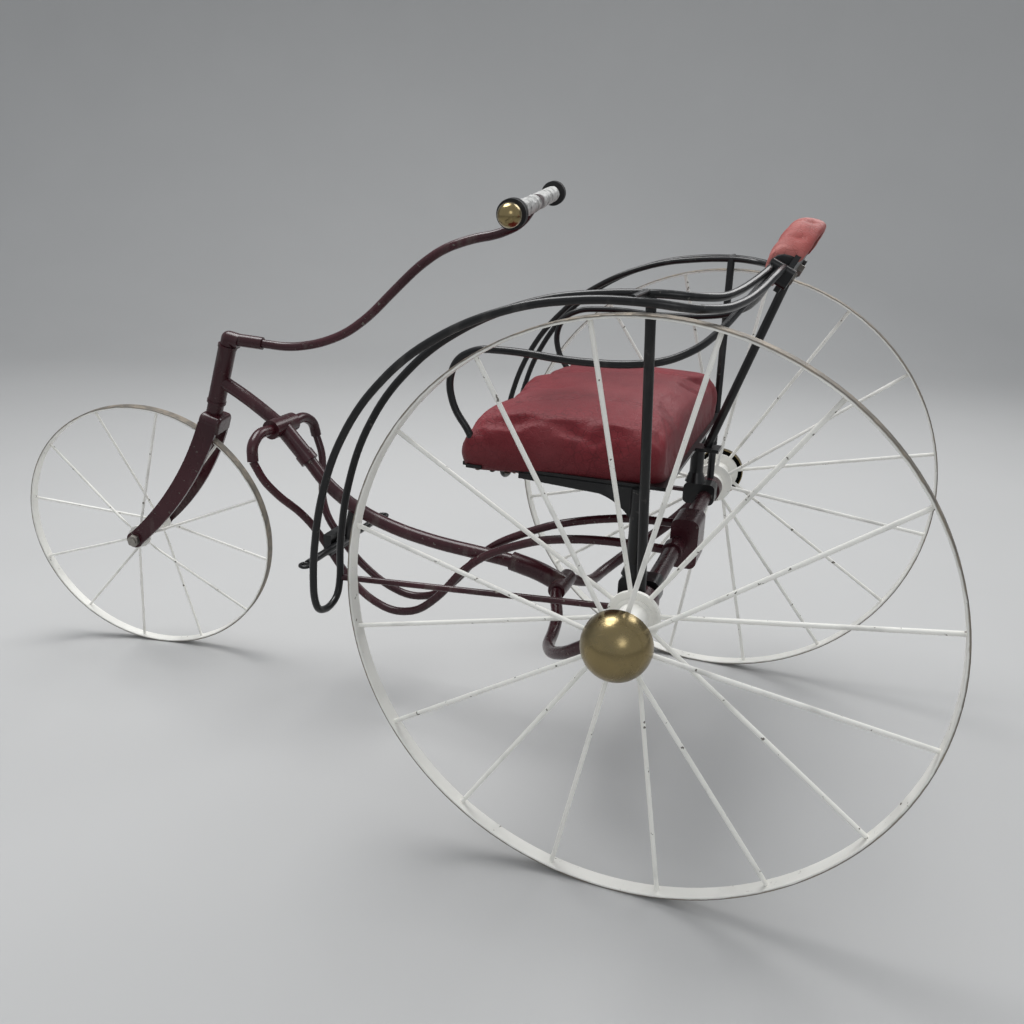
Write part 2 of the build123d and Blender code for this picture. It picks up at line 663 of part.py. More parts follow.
def build_guards():
    """Pairs of rods beside each rear wheel, joined by a U in front and brought to the back lugs."""
    low_forward = rear_radius + guard_profile[0][1]
    out = guard_half_gap
    outer_tail = [
        (-6, rear_half + out, 13), (-38, rear_half + 18, 9), (-62, rear_half - 20, 6),
        (-74, rear_half - 74, 9), (-82, rear_half - 130, 17), (-89, 116, 27), (-92, lug_y, 31),
    ]
    inner_tail = [
        (-4, rear_half - out, 15), (-32, rear_half - out - 10, 13), (-52, rear_half - out - 38, 11),
        (-62, rear_half - out - 78, 14), (-71, rear_half - out - 118, 21), (-78, 104, 28), (-80, lug_y, 31),
    ]
    for side, s in sides:
        outer = guard_rod(s, out, outer_tail)
        inner = guard_rod(s, -out, inner_tail)
        turn_shares = ((1, 0), (0.75, 0.75), (0, 1), (-0.75, 0.75), (-1, 0))
        bend = [place(low_forward, s * (rear_half + out * q), guard_low - guard_bow * drop)
                for q, drop in turn_shares]
        lug = parts[f"back_lug_{side}"]
        guard = main_piece(cut(rod(list(reversed(outer)) + bend + inner, guard_radius), lug))
        parts[f"guard_{side}"] = guard
        inner_y = s * (rear_half - out)
        housing = parts[f"axle_bearing_{side}"]
        stay = bar(place(0, s * bearing_y, 0), place(6, inner_y, rear_radius + 15), stay_radius)
        parts[f"guard_stay_{side}"] = main_piece(cut(stay, housing, guard))
        low = bar(place(low_forward, inner_y, guard_low), place(0, s * bearing_y, -6), lower_stay_radius)
        arm = parts[f"rear_arm_{side}"]
        parts[f"lower_stay_{side}"] = main_piece(cut(low, housing, guard, arm))
        clip = across(place(10, s * rear_half, rear_radius + 15.5), 3.2, guard_half_gap * 2)
        parts[f"guard_clip_{side}"] = main_piece(cut(clip, guard, parts[f"guard_stay_{side}"]))


# ---- back rest ----------------------------------------------------------------------------------------------
board_half = 74.0
board_rise = rear_radius + 25.0
board_lean = 0.5
back_plane = Plane(origin=place(-92, 0, board_rise), x_dir=(0, 1, 0), z_dir=Vector(1, 0, -board_lean))


def build_back():
    """Arched board, its end lugs and bolts, the stay from the pan, and the pad's plain half-roll."""
    face = make_face([
        ThreePointArc((-board_half, 8), (0, 48), (board_half, 8)),
        Line((board_half, 8), (board_half, -20)),
        ThreePointArc((board_half, -20), (0, -8), (-board_half, -20)),
        Line((-board_half, -20), (-board_half, 8)),
    ])
    board = back_plane * extrude(face, board_thick)
    for side, s in sides:
        size = (14, 22, 26)
        lug = Location((s * (board_half + 7), -2, board_thick / 2 - 6)) * Box(*size)
        parts[f"back_lug_{side}"] = back_plane * fillet(lug.edges().filter_by(Axis.Z), 5)
    stay = bar(place(-22, 0, seat_rise + pan_thick), place(-92, 0, board_rise - 9), stay_radius)
    parts["back_board"] = board
    parts["back_stay"] = main_piece(cut(stay, board, parts["seat_pan"]))
    half = board_half - 10
    path = Wire([ThreePointArc((-half, 0), (0, 32), (half, 0))])
    roll = sweep(Plane(origin=path @ 0, z_dir=path % 0) * Circle(pad_radius), path=path)
    front = Location((0, 0, -50 - cloth_clearance)) * Box(400, 400, 100)
    parts["back_pad"] = main_piece(cut(back_plane * (roll & front), board, parts["back_stay"]))
    bolts = []
    for x in (-board_half + 18, board_half - 18):
        centre = back_plane.from_local_coords(Vector(x, -2, board_thick))
        bolts.append(hexagon(centre, 13, 6, (0, 1, 0), back_plane.z_dir).solid())
    parts["back_bolts"] = Compound(bolts)


def main_piece(shape):
    """The largest solid of a shape, without the stubs that a cut leaves inside its neighbour."""
    return max(shape.solids(), key=lambda piece: piece.volume)


def build_all():
    build_rear_wheels()
    build_front_wheel()
    build_steerer()
    build_fork()
    build_front_axle()
    build_tiller()
    build_head()
    build_backbone()
    build_side_rods()
    build_axle()
    build_rear_arms()
    build_foot_rest()
    build_seat()
    build_cushion()
    build_seat_rings()
    build_back()
    build_rails()
    build_guards()


def group(name, members):
    """Several like pieces kept as separate solids under one name."""
    solids = []
    for member in members:
        solids += parts.pop(member).solids()
    parts[name] = Compound(solids)


build_all()
pairs = (
    "cross_elbow", "rod_eye", "rear_arm", "axle_bearing", "seat_column", "seat_gusset",
    "back_lug", "guard_stay", "lower_stay", "guard_clip", "fork_blade",
)
for name in pairs:
    group(name + "s", [name + "_left", name + "_right"])
group("head_cups", ["head_cup_upper", "head_cup_lower"])
group("front_axle_fittings", ["front_spacers", "front_axle_nuts"])

os.makedirs("parts", exist_ok=True)
for name, shape in parts.items():
    export_step(shape, f"parts/{name}.step")
print(len(parts), "parts, rear axle at x =", round(axle_x, 2))
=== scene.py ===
import json
import math

import bmesh
import bpy
from bpy.props import FloatProperty, FloatVectorProperty, PointerProperty
from mathutils import Matrix, Vector, noise


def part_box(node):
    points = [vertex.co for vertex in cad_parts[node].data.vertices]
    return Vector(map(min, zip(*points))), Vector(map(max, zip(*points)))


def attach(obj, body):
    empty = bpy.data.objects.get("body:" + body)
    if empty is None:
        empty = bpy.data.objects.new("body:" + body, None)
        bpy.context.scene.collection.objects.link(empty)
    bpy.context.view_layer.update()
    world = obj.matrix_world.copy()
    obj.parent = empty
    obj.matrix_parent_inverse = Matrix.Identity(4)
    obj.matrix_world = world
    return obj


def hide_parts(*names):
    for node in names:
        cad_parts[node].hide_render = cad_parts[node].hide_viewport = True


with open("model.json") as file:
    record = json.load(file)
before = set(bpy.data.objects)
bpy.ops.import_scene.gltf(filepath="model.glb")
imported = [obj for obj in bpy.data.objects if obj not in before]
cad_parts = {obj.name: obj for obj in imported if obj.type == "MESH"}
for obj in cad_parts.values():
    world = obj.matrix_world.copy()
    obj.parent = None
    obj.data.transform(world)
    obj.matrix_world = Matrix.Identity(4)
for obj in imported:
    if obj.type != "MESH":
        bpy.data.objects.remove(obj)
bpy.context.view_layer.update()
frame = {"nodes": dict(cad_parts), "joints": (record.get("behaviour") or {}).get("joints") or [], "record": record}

bl_info = {
    "name": "Tiller tricycle",
    "version": (1, 0, 0),
    "blender": (4, 5, 0),
    "location": "View3D > Sidebar > Tricycle",
    "description": "Finishes, upholstery and studio for a child's tiller-steered tricycle",
    "category": "Object",
}

JOINTS = {joint["name"]: joint for joint in frame["joints"]}
REAR_AXLE = Vector(JOINTS["left_wheel_spin"]["pos_m"])
REAR_AXLE.y = 0.0
FRONT_AXLE = Vector(JOINTS["front_wheel_spin"]["pos_m"])
FRONT_AXIS = Vector(JOINTS["front_wheel_spin"]["axis"]).normalized()
HEAD_AXIS = Vector(JOINTS["steering_turn"]["axis"]).normalized()
ACROSS = Vector((0, 1, 0))
UPWARD = Vector((0, 0, 1))

# Camera: turn to the left, tilt down and roll in radians, and place from the rear axle in metres.
CAMERA_YAW = 0.34489
CAMERA_PITCH = 0.33372
CAMERA_ROLL = 0.03069
CAMERA_FROM_AXLE = Vector((0.17624, -1.11249, 0.71481))

# Back board: how far it leans for each unit that it rises, its place from the rear axle, its arch.
BOARD_LEAN = 0.5
BOARD_FROM_AXLE = Vector((0.092, 0, 0.330))
BOARD_ARCH = 0.032
PAD_END_INSET = 0.009

# Cushion cover: points round its outline, and how square its corners are.
OUTLINE_POINTS = 160
SQUARENESS = 12.0

# Grips: rings along each half and points round it, and the wrap's least radius.
GRIP_ROWS = 150
GRIP_POINTS = 40
GRIP_RADIUS = 0.0094


# ---- settings ----------------------------------------------------------------------------
def colour(name, description, default):
    return FloatVectorProperty(
        name=name, description=description, subtype="COLOR", size=3, min=0.0, max=1.0, default=default
    )


def length(name, description, default):
    return FloatProperty(name=name, description=description, unit="LENGTH", min=0.0, default=default)


def power(name, description, default):
    return FloatProperty(name=name, description=description, unit="POWER", min=0.0, default=default)


def share(name, description, default):
    return FloatProperty(
        name=name, description=description, subtype="FACTOR", min=0.0, max=1.0, default=default
    )


class TricycleColours(bpy.types.PropertyGroup):
    maroon: colour("Maroon", "Enamel of the frame, fork and tiller", (0.036, 0.0065, 0.010))
    black: colour("Black", "Enamel of the guards, rails and seat irons", (0.0045, 0.0045, 0.005))
    cream: colour("Cream", "Enamel of the wheels", (0.86, 0.85, 0.80))
    worn_steel: colour("Worn steel", "Bare metal where enamel has gone", (0.17, 0.155, 0.135))
    brass: colour("Brass", "Hub domes and handle balls", (0.27, 0.21, 0.105))
    leather: colour("Seat leather", "Cushion cover", (0.165, 0.0125, 0.019))
    faded: colour("Faded leather", "Back pad cover", (0.40, 0.090, 0.080))
    grip: colour("Grip wrap", "Crinkled wrap round the handle", (0.34, 0.34, 0.33))


class TricycleWear(bpy.types.PropertyGroup):
    chips: share("Chips", "How much enamel has chipped away", 0.20)
    tarnish: share("Tarnish", "How dull the brass is", 0.45)
    dust: share("Dust", "Pale dust on the cushion's top", 0.40)
    tread_depth: length("Tread wear", "How far down the bands' edges the enamel is gone", 0.0013)


class TricycleUpholstery(bpy.types.PropertyGroup):
    crown: length("Crown", "Rise of the cushion's middle above its edge", 0.008)
    overhang: length("Overhang", "How far the cover stands outside the cushion's core", 0.004)
    voxel: length("Mesh size", "Grid of the cover before it is puffed", 0.006)
    pressure: FloatProperty(name="Pressure", description="Stuffing pressure", default=3.0, min=0.0)
    limit: length("Puff limit", "The furthest that any point may swell", 0.006)


class TricycleGrips(bpy.types.PropertyGroup):
    pitch: length("Wrap pitch", "Width of one turn of the wrap", 0.011)
    ridge: length("Wrap ridge", "Height of one turn over the next", 0.0011)
    tacks: length("Tack spacing", "Distance between upholstery tacks", 0.017)


class TricycleStage(bpy.types.PropertyGroup):
    floor: colour("Floor", "Plain studio floor", (0.50, 0.50, 0.495))
    key: power("Key light", "Power of the large light", 50.0)
    fill: power("Fill light", "Power of the front light", 7.0)
    rim: power("Rim light", "Power of the rear light", 22.0)
    lens: FloatProperty(name="Lens", description="Focal length", unit="CAMERA", default=33.375)


# ---- finishes: numbers and places on a surface ----------------------------------------------
class Level:
    """A number that varies over a surface. Arithmetic on it adds Math nodes."""

    def __init__(self, finish, socket):
        self.finish = finish
        self.socket = socket

    def math(self, operation, first, second):
        made = self.finish.node("ShaderNodeMath", {"operation": operation}, {0: first, 1: second})
        return Level(self.finish, made.outputs[0])

    def __add__(self, other):
        return self.math("ADD", self, other)

    def __sub__(self, other):
        return self.math("SUBTRACT", self, other)

    def __rsub__(self, other):
        return self.math("SUBTRACT", other, self)

    def __mul__(self, other):
        return self.math("MULTIPLY", self, other)

    def __or__(self, other):
        """The larger of two masks."""
        return self.math("MAXIMUM", self, other)

    __radd__ = __add__
    __rmul__ = __mul__

    def step(self, low, high):
        """0 below low, 1 above high and smooth between."""
        made = self.finish.node(
            "ShaderNodeMapRange",
            {"interpolation_type": "SMOOTHSTEP"},
            {"Value": self, "From Min": low, "From Max": high},
        )
        return Level(self.finish, made.outputs[0])


class Place:
    """A point or direction on a surface. Arithmetic on it adds Vector Math nodes."""

    def __init__(self, finish, socket):
        self.finish = finish
        self.socket = socket

    def math(self, operation, second):
        return self.finish.node("ShaderNodeVectorMath", {"operation": operation}, {0: self, 1: second})

    def __sub__(self, other):
        return Place(self.finish, self.math("SUBTRACT", other).outputs[0])

    def __mul__(self, other):
        return Place(self.finish, self.math("MULTIPLY", other).outputs[0])

    def along(self, direction):
        return Level(self.finish, self.math("DOT_PRODUCT", direction).outputs["Value"])

    def reach(self):
        return Level(self.finish, self.math("LENGTH", (0, 0, 0)).outputs["Value"])

    def off(self, direction):
        """What is left of it without its part along a direction, as a length."""
        across = self.math("CROSS_PRODUCT", direction)
        return Place(self.finish, across.outputs[0]).reach()


class Finish:
    """A material with one Principled shader. Constants are set on its sockets directly."""

    def __init__(self, name, constants):
        self.material = bpy.data.materials.new(name)
        self.material.use_nodes = True
        self.tree = self.material.node_tree
        self.shader = self.tree.nodes["Principled BSDF"]
        for socket, value in constants.items():
            self.shader.inputs[socket].default_value = value
        coordinates = self.node("ShaderNodeTexCoord", {}, {})
        self.here = Place(self, coordinates.outputs["Object"])

    def node(self, kind, settings, inputs):
        made = self.tree.nodes.new(kind)
        for name, value in settings.items():
            setattr(made, name, value)
        for key, value in inputs.items():
            if isinstance(value, (Level, Place)):
                self.tree.links.new(value.socket, made.inputs[key])
            elif isinstance(value, bpy.types.NodeSocket):
                self.tree.links.new(value, made.inputs[key])
            else:
                made.inputs[key].default_value = value
        return made

    def cloud(self, scale, detail=3.0, stretch=(1.0, 1.0, 1.0)):
        """Noise between 0 and 1, with this many blotches to the metre."""
        where = self.here * stretch if stretch != (1.0, 1.0, 1.0) else self.here
        made = self.node("ShaderNodeTexNoise", {}, {"Vector": where, "Scale": scale, "Detail": detail})
        return Level(self, made.outputs[0])

    def cells(self, scale, feature="F1"):
        made = self.node(
            "ShaderNodeTexVoronoi", {"feature": feature}, {"Vector": self.here, "Scale": scale}
        )
        return Level(self, made.outputs["Distance"])

    def mix(self, factor, first, second):
        """A colour between two, each a colour or the result of another mix."""
        values = [
            value if isinstance(value, bpy.types.NodeSocket) else (*value, 1.0)
            for value in (first, second)
        ]
        made = self.node(
            "ShaderNodeMix", {"data_type": "RGBA"}, {0: factor, 6: values[0], 7: values[1]}
        )
        return made.outputs[2]

    def done(self, base, roughness, height=None, depth=0.0, metallic=None):
        """Links what varies to the shader and returns the material."""
        self.tree.links.new(base, self.shader.inputs["Base Color"])
        self.tree.links.new(roughness.socket, self.shader.inputs["Roughness"])
        if metallic is not None:
            self.tree.links.new(metallic.socket, self.shader.inputs["Metallic"])
        if height is not None:
            bump = self.node("ShaderNodeBump", {}, {"Height": height, "Distance": depth})
            self.tree.links.new(bump.outputs[0], self.shader.inputs["Normal"])
        return self.material


def lighter(value, factor):
    return tuple(min(1.0, channel * factor) for channel in value)


def enamel(name, paint, under, chips, sheen):
    """Old gloss enamel: uneven gloss, scuffs, and chips down to dark metal."""
    finish = Finish(name, {"Specular IOR Level": 0.36, "Coat Weight": 0.08, "Coat Roughness": 0.08})
    broad = finish.cloud(9.0, 4.0)
    speckle = finish.cloud(150.0, 5.0)
    scuffed = finish.cloud(38.0, 6.0)
    threshold = 0.70 - 0.16 * chips
    chipped = speckle.step(threshold, threshold + 0.02) * broad.step(0.46, 0.60)
    flaked = scuffed.step(threshold + 0.035, threshold + 0.055)
    bare = chipped | flaked
    streak = finish.cloud(60.0, 4.0, (1.0, 1.0, 0.25)).step(0.55, 0.75)
    coat = finish.mix(broad.step(0.35, 0.7), lighter(paint, 0.75), lighter(paint, 1.35))
    coat = finish.mix(streak * 0.30, coat, lighter(under, 0.8))
    base = finish.mix(bare, coat, under)
    roughness = sheen + 0.14 * scuffed + 0.30 * bare
    height = (1.0 - bare) + 0.10 * finish.cloud(420.0, 2.0)
    return finish.done(base, roughness, height, 0.0004, bare * 0.6)


def band_finish(name, paint, worn, centre, axis, radius, depth):
    """Cream enamel that has worn off the tread and edges of a wheel's band."""
    finish = Finish(name, {"Specular IOR Level": 0.45})
    reach = (finish.here - tuple(centre)).off(tuple(axis))
    ragged = finish.cloud(70.0, 5.0)
    patch = finish.cloud(11.0, 4.0)
    tread = (reach + 0.0022 * ragged).step(radius - depth, radius - depth * 0.3 + 0.0006)
    flakes = finish.cloud(170.0, 4.0).step(0.66, 0.69) * patch.step(0.5, 0.62)
    bare = tread | flakes
    rust = finish.mix(ragged.step(0.35, 0.7), worn, (0.30, 0.26, 0.21))
    coat = finish.mix(patch.step(0.45, 0.75) * 0.55, paint, lighter(paint, 0.62))
    base = finish.mix(bare, coat, rust)
    roughness = 0.36 + 0.16 * ragged + 0.12 * bare
    height = (1.0 - bare) + 0.25 * finish.cloud(330.0, 3.0)
    return finish.done(base, roughness, height, 0.0003, bare * 0.65)


def hub_enamel(name, paint, worn):
    finish = Finish(name, {"Specular IOR Level": 0.45})
    grime = finish.cloud(24.0, 5.0)
    flakes = finish.cloud(140.0, 4.0).step(0.67, 0.70)
    coat = finish.mix(grime.step(0.5, 0.78) * 0.6, paint, lighter(paint, 0.55))
    base = finish.mix(flakes, coat, worn)
    return finish.done(base, 0.34 + 0.2 * grime, (1.0 - flakes) + 0.2 * finish.cloud(300.0), 0.0003)


def old_brass(name, tint, tarnish, centre=None, radius=0.0):
    """Brass gone patchy with tarnish, fine scratches and dents; painted shade, near black, inside a dome's hollow
    shell.
    """
    finish = Finish(name, {"Metallic": 1.0})
    blotch = finish.cloud(26.0, 5.0)
    fine = finish.cloud(230.0, 3.0)
    scratch = finish.cloud(90.0, 6.0, (1.0, 9.0, 1.0))
    dull = (blotch * 0.75 + fine * 0.25).step(0.58 - 0.25 * tarnish, 0.86 - 0.25 * tarnish)
    base = finish.mix(dull * 0.8, tint, (0.20, 0.165, 0.095))
    base = finish.mix(scratch.step(0.62, 0.70) * 0.35, base, lighter(tint, 1.35))
    roughness = 0.16 + 0.20 * dull + 0.10 * scratch
    if centre is not None:
        # Painted shade: the inside of the dome's hollow shell is made near black, as if in shadow.
        shell = (finish.here - tuple(centre)).reach().step(radius - 0.0012, radius - 0.0007)
        base = finish.mix(shell, (0.006, 0.006, 0.005), base)
        roughness = roughness + 0.4 * (1.0 - shell)
    return finish.done(base, roughness, 0.6 * fine + 0.4 * blotch, 0.00025)


def bare_steel(name, tint):
    finish = Finish(name, {"Metallic": 0.85})
    blotch = finish.cloud(75.0, 6.0)
    base = finish.mix(blotch.step(0.42, 0.66), tint, lighter(tint, 0.45))
    base = finish.mix(finish.cloud(35.0).step(0.6, 0.72) * 0.6, base, (0.16, 0.085, 0.045))
    return finish.done(base, 0.38 + 0.3 * blotch, blotch, 0.0003)


def dull_rubber(name):
    finish = Finish(name, {"Specular IOR Level": 0.35})
    dust = finish.cloud(60.0, 5.0)
    base = finish.mix(dust.step(0.5, 0.75) * 0.5, (0.014, 0.014, 0.015), (0.075, 0.072, 0.068))
    return finish.done(base, 0.52 + 0.25 * dust, finish.cloud(500.0, 3.0), 0.00025)


def ivory(name):
    finish = Finish(name, {"Specular IOR Level": 0.5})
    age = finish.cloud(120.0, 4.0)
    base = finish.mix(age.step(0.4, 0.7), (0.68, 0.65, 0.55), (0.42, 0.38, 0.29))
    return finish.done(base, 0.34 + 0.2 * age, age, 0.0002)


def crinkled_wrap(name, tint):
    """Grey-white wrap, creased, grimy in patches, and lighter on its raised ridges than in its folds."""
    finish = Finish(name, {"Specular IOR Level": 0.5})
    crease = finish.cells(210.0, "F2").step(0.25, 0.85)
    grime = finish.cloud(95.0, 6.0)
    base = finish.mix(grime.step(0.42, 0.68), lighter(tint, 1.35), lighter(tint, 0.42))
    # The raised ridges of the creases are made lighter than the folds, following the crease height.
    base = finish.mix(crease * 0.3, base, lighter(tint, 1.6))
    return finish.done(base, 0.36 + 0.3 * grime, 0.6 * crease + 0.4 * grime, 0.0007)


def worn_leather(name, tint, dust_tint, dust, crack, painted_shade_from=0.0, painted_shade_to=0.0):
    """Leathercloth with a fine grain, crazed creases, faded patches and painted shade low on the sides."""
    finish = Finish(name, {"Specular IOR Level": 0.30, "Sheen Weight": 0.03, "Sheen Roughness": 0.5})
    grain = finish.cells(620.0)
    crazing = finish.cells(130.0, "DISTANCE_TO_EDGE").step(0.0, 0.06)
    broad = finish.cloud(7.0, 5.0)
    blotch = finish.cloud(30.0, 6.0)
    drift = finish.cloud(15.0, 5.0, (1.0, 0.45, 2.0))
    base = finish.mix(broad.step(0.3, 0.7), lighter(tint, 0.82), lighter(tint, 1.28))
    base = finish.mix(drift.step(0.42, 0.74) * dust, base, dust_tint)
    base = finish.mix(blotch.step(0.60, 0.72) * 0.45, base, lighter(tint, 0.55))
    base = finish.mix((1.0 - crazing) * crack * blotch.step(0.40, 0.62), base, lighter(tint, 0.40))
    # Painted shade: the cushion's sides are made darker low down, as the light falls from above.
    if painted_shade_to > painted_shade_from:
        height_up = finish.here.along(tuple(UPWARD)) + 0.012 * blotch
        painted_shade_low = 1.0 - height_up.step(painted_shade_from, painted_shade_to)
        base = finish.mix(painted_shade_low * 0.75, base, lighter(tint, 0.42))
    roughness = 0.42 + 0.20 * blotch + 0.10 * broad
    height = 0.35 * grain + 0.55 * crazing * crack + 0.5 * finish.cloud(85.0, 4.0)
    return finish.done(base, roughness, height, 0.0006)


def paint_nodes(names, material):
    """Gives CAD pieces a finish through their material slots."""
    for name in names:
        piece = frame["nodes"][name]
        if not piece.material_slots:
            piece.data.materials.append(material)
        for holder in piece.material_slots:
            holder.material = material


def nodes_of(slot):
    return [part["node"] for part in frame["record"]["subparts"] if part["material_slot"] == slot]


# ---- shared mesh work ---------------------------------------------------------------------------
def new_piece(name, vertices, faces, material, slot):
    mesh = bpy.data.meshes.new(name)
    mesh.from_pydata([tuple(v) for v in vertices], [], faces)
    mesh.validate()
    piece = bpy.data.objects.new(name, mesh)
    bpy.context.scene.collection.objects.link(piece)
    return dress(piece, material)


def dress(piece, material):
    piece.data.materials.clear()
    piece.data.materials.append(material)
    for face in piece.data.polygons:
        face.use_smooth = True
    return piece


def loft(rings):
    """Vertices and faces through rings of equal count, with both ends closed."""
    count = len(rings[0])
    vertices = [point for ring in rings for point in ring]
    faces = []
    for row in range(len(rings) - 1):
        for i in range(count):
            j = (i + 1) % count
            a, b = row * count, (row + 1) * count
            faces.append((a + i, a + j, b + j, b + i))
    faces.append(tuple(reversed(range(count))))
    last = (len(rings) - 1) * count
    faces.append(tuple(last + i for i in range(count)))
    return vertices, faces


def join_lofts(forms):
    """Vertices and faces of several lofts in one mesh."""
    vertices, faces = [], []
    for rings in forms:
        new_vertices, new_faces = loft(rings)
        shift = len(vertices)
        vertices += new_vertices
        faces += [tuple(i + shift for i in face) for face in new_faces]
    return vertices, faces


def apply_modifiers(piece):
    """Turns a piece's modifiers into mesh, so that none is left on it."""
    view = bpy.context.evaluated_depsgraph_get()
    mesh = bpy.data.meshes.new_from_object(piece.evaluated_get(view))
    old = piece.data
    piece.modifiers.clear()
    piece.data = mesh
    bpy.data.meshes.remove(old)


def remesh(piece, size):
    step = piece.modifiers.new("Grid", "REMESH")
    step.mode = "VOXEL"
    step.voxel_size = size
    apply_modifiers(piece)


def subdivide(piece, levels):
    step = piece.modifiers.new("Smooth", "SUBSURF")
    step.levels = levels
    apply_modifiers(piece)


def puff(piece, pinned, pressure, growth, limit, frames=20):
    """Stuffs a cover as cloth under pressure, and caps how far any point moves."""
    start = [vertex.co.copy() for vertex in piece.data.vertices]
    group = piece.vertex_groups.new(name="held")
    group.add([i for i, point in enumerate(start) if pinned(point)], 1.0, "REPLACE")
    cloth = piece.modifiers.new("Cover", "CLOTH")
    cloth.settings.quality = 6
    cloth.settings.mass = 0.25
    cloth.settings.tension_stiffness = 18.0
    cloth.settings.compression_stiffness = 12.0
    cloth.settings.bending_stiffness = 0.4
    cloth.settings.use_pressure = True
    cloth.settings.uniform_pressure_force = pressure
    cloth.settings.shrink_min = -growth
    cloth.settings.effector_weights.gravity = 0.0
    cloth.settings.vertex_group_mass = "held"
    cloth.collision_settings.use_collision = False
    scene = bpy.context.scene
    for moment in range(1, frames + 1):
        scene.frame_set(moment)
    view = bpy.context.evaluated_depsgraph_get()
    moved = [vertex.co.copy() for vertex in piece.evaluated_get(view).data.vertices]
    piece.modifiers.clear()
    piece.vertex_groups.clear()
    scene.frame_set(1)
    for vertex, old, new in zip(piece.data.vertices, start, moved):
        move = new - old
        if move.length > limit:
            move *= limit / move.length
        vertex.co = old + move


def crease(piece, folds):
    """Presses folds into a piece: each is a run of points, a width and a depth inward."""
    mesh = piece.data
    normals = [vertex.normal.copy() for vertex in mesh.vertices]
    for vertex, normal in zip(mesh.vertices, normals):
        sink = 0.0
        for points, width, depth in folds:
            nearest = min(
                distance_to_run(vertex.co, a, b) for a, b in zip(points, points[1:])
            )
            if nearest < width * 3:
                sink += depth * math.exp(-((nearest / width) ** 2))
        vertex.co -= normal * sink


def distance_to_run(point, start, end):
    run = end - start
    along = max(0.0, min(1.0, (point - start).dot(run) / run.length_squared))
    return (point - start - run * along).length


# ---- upholstery ---------------------------------------------------------------------------------
def cushion_outline(angle):
    """A rectangle with soft corners, as shares of the half sizes."""
    c, s = math.cos(angle), math.sin(angle)
    power = 2.0 / SQUARENESS
    return math.copysign(abs(c) ** power, c), math.copysign(abs(s) ** power, s)


def front_line(share_across):
    """Rise and fall of the cushion's front edge from the left corner to the right one."""
    waves = ((-1.0, 0.30, -0.016), (-0.45, 0.22, -0.011), (0.02, 0.22, 0.010),
             (0.72, 0.16, -0.010), (1.0, 0.12, 0.007))
    return sum(
        depth * math.exp(-(((share_across - where) / width) ** 2)) for where, width, depth in waves
    )


def painted_shade_heights():
    """Between these two heights the cushion's sides go from painted shade, darker low down, to their plain colour.
    """
    low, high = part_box("seat_cushion")
    return low.z - 0.004, high.z + 0.008


def cushion_cover(sizes, material):
    """The seat's cover: crowned, pulled thin at its corners, its sides wrapped round the pan."""
    low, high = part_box("seat_cushion")
    pan_low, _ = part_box("seat_pan")
    middle = (low + high) / 2
    half = (high - low) / 2 + Vector((sizes.overhang, sizes.overhang, 0))
    bottom = pan_low.z - 0.005
    edge = high.z - 0.003
    profile = [
        (0.02, bottom + 0.004), (0.50, bottom + 0.004), (0.90, bottom + 0.003), (0.955, bottom),
        (0.985, bottom + 0.005), (1.005, bottom + 0.018), (1.005, bottom + 0.034),
        (0.995, edge - 0.010), (0.970, edge - 0.002), (0.92, edge + 0.003), (0.80, edge + 0.006),
        (0.60, edge + 0.008), (0.35, edge + 0.009), (0.02, edge + 0.009),
    ]
    rings = []
    for scale, height in profile:
        ring = []
        for i in range(OUTLINE_POINTS):
            u, v = cushion_outline(2 * math.pi * i / OUTLINE_POINTS)
            x, y = u * scale, v * scale
            pull_sides = 0.020 * (1 - abs(u) ** 4) * abs(v) ** 6
            pull_ends = 0.014 * (1 - abs(v) ** 4) * abs(u) ** 6
            spread = 1.0 - (pull_sides + pull_ends) * min(1.0, scale * 1.1)
            if u < 0:
                spread += 0.060 * abs(u * v) ** 3
            upper = max(0.0, min(1.0, (height - bottom - 0.012) / (edge - bottom - 0.018)))
            rise = height + upper * (
                sizes.crown * (1 - x * x) * (1 - y ** 4) + front_line(y) * max(0.0, -x) ** 3
            )
            lean = 0.05 * (1 - upper) * max(0.0, y * y * (0.4 + x) / 1.4)
            ring.append(Vector((
                middle.x + x * spread * half.x,
                middle.y + y * (spread - lean) * half.y,
                rise,
            )))
        rings.append(ring)
    vertices, faces = loft(rings)
    cover = new_piece("seat_cover", vertices, faces, material, "red_leather")
    remesh(cover, sizes.voxel)
    held = bottom + 0.010
    corner_x, corner_y = half.x * 0.93, half.y * 0.95

    def pinned(point):
        at_corner = abs(point.x - middle.x) > corner_x and abs(point.y - middle.y) > corner_y
        return point.z < held or at_corner

    puff(cover, pinned, sizes.pressure, 0.035, sizes.limit)
    subdivide(cover, 1)
    crease(cover, cushion_folds(middle, half, bottom, edge))
    return dress(cover, material)


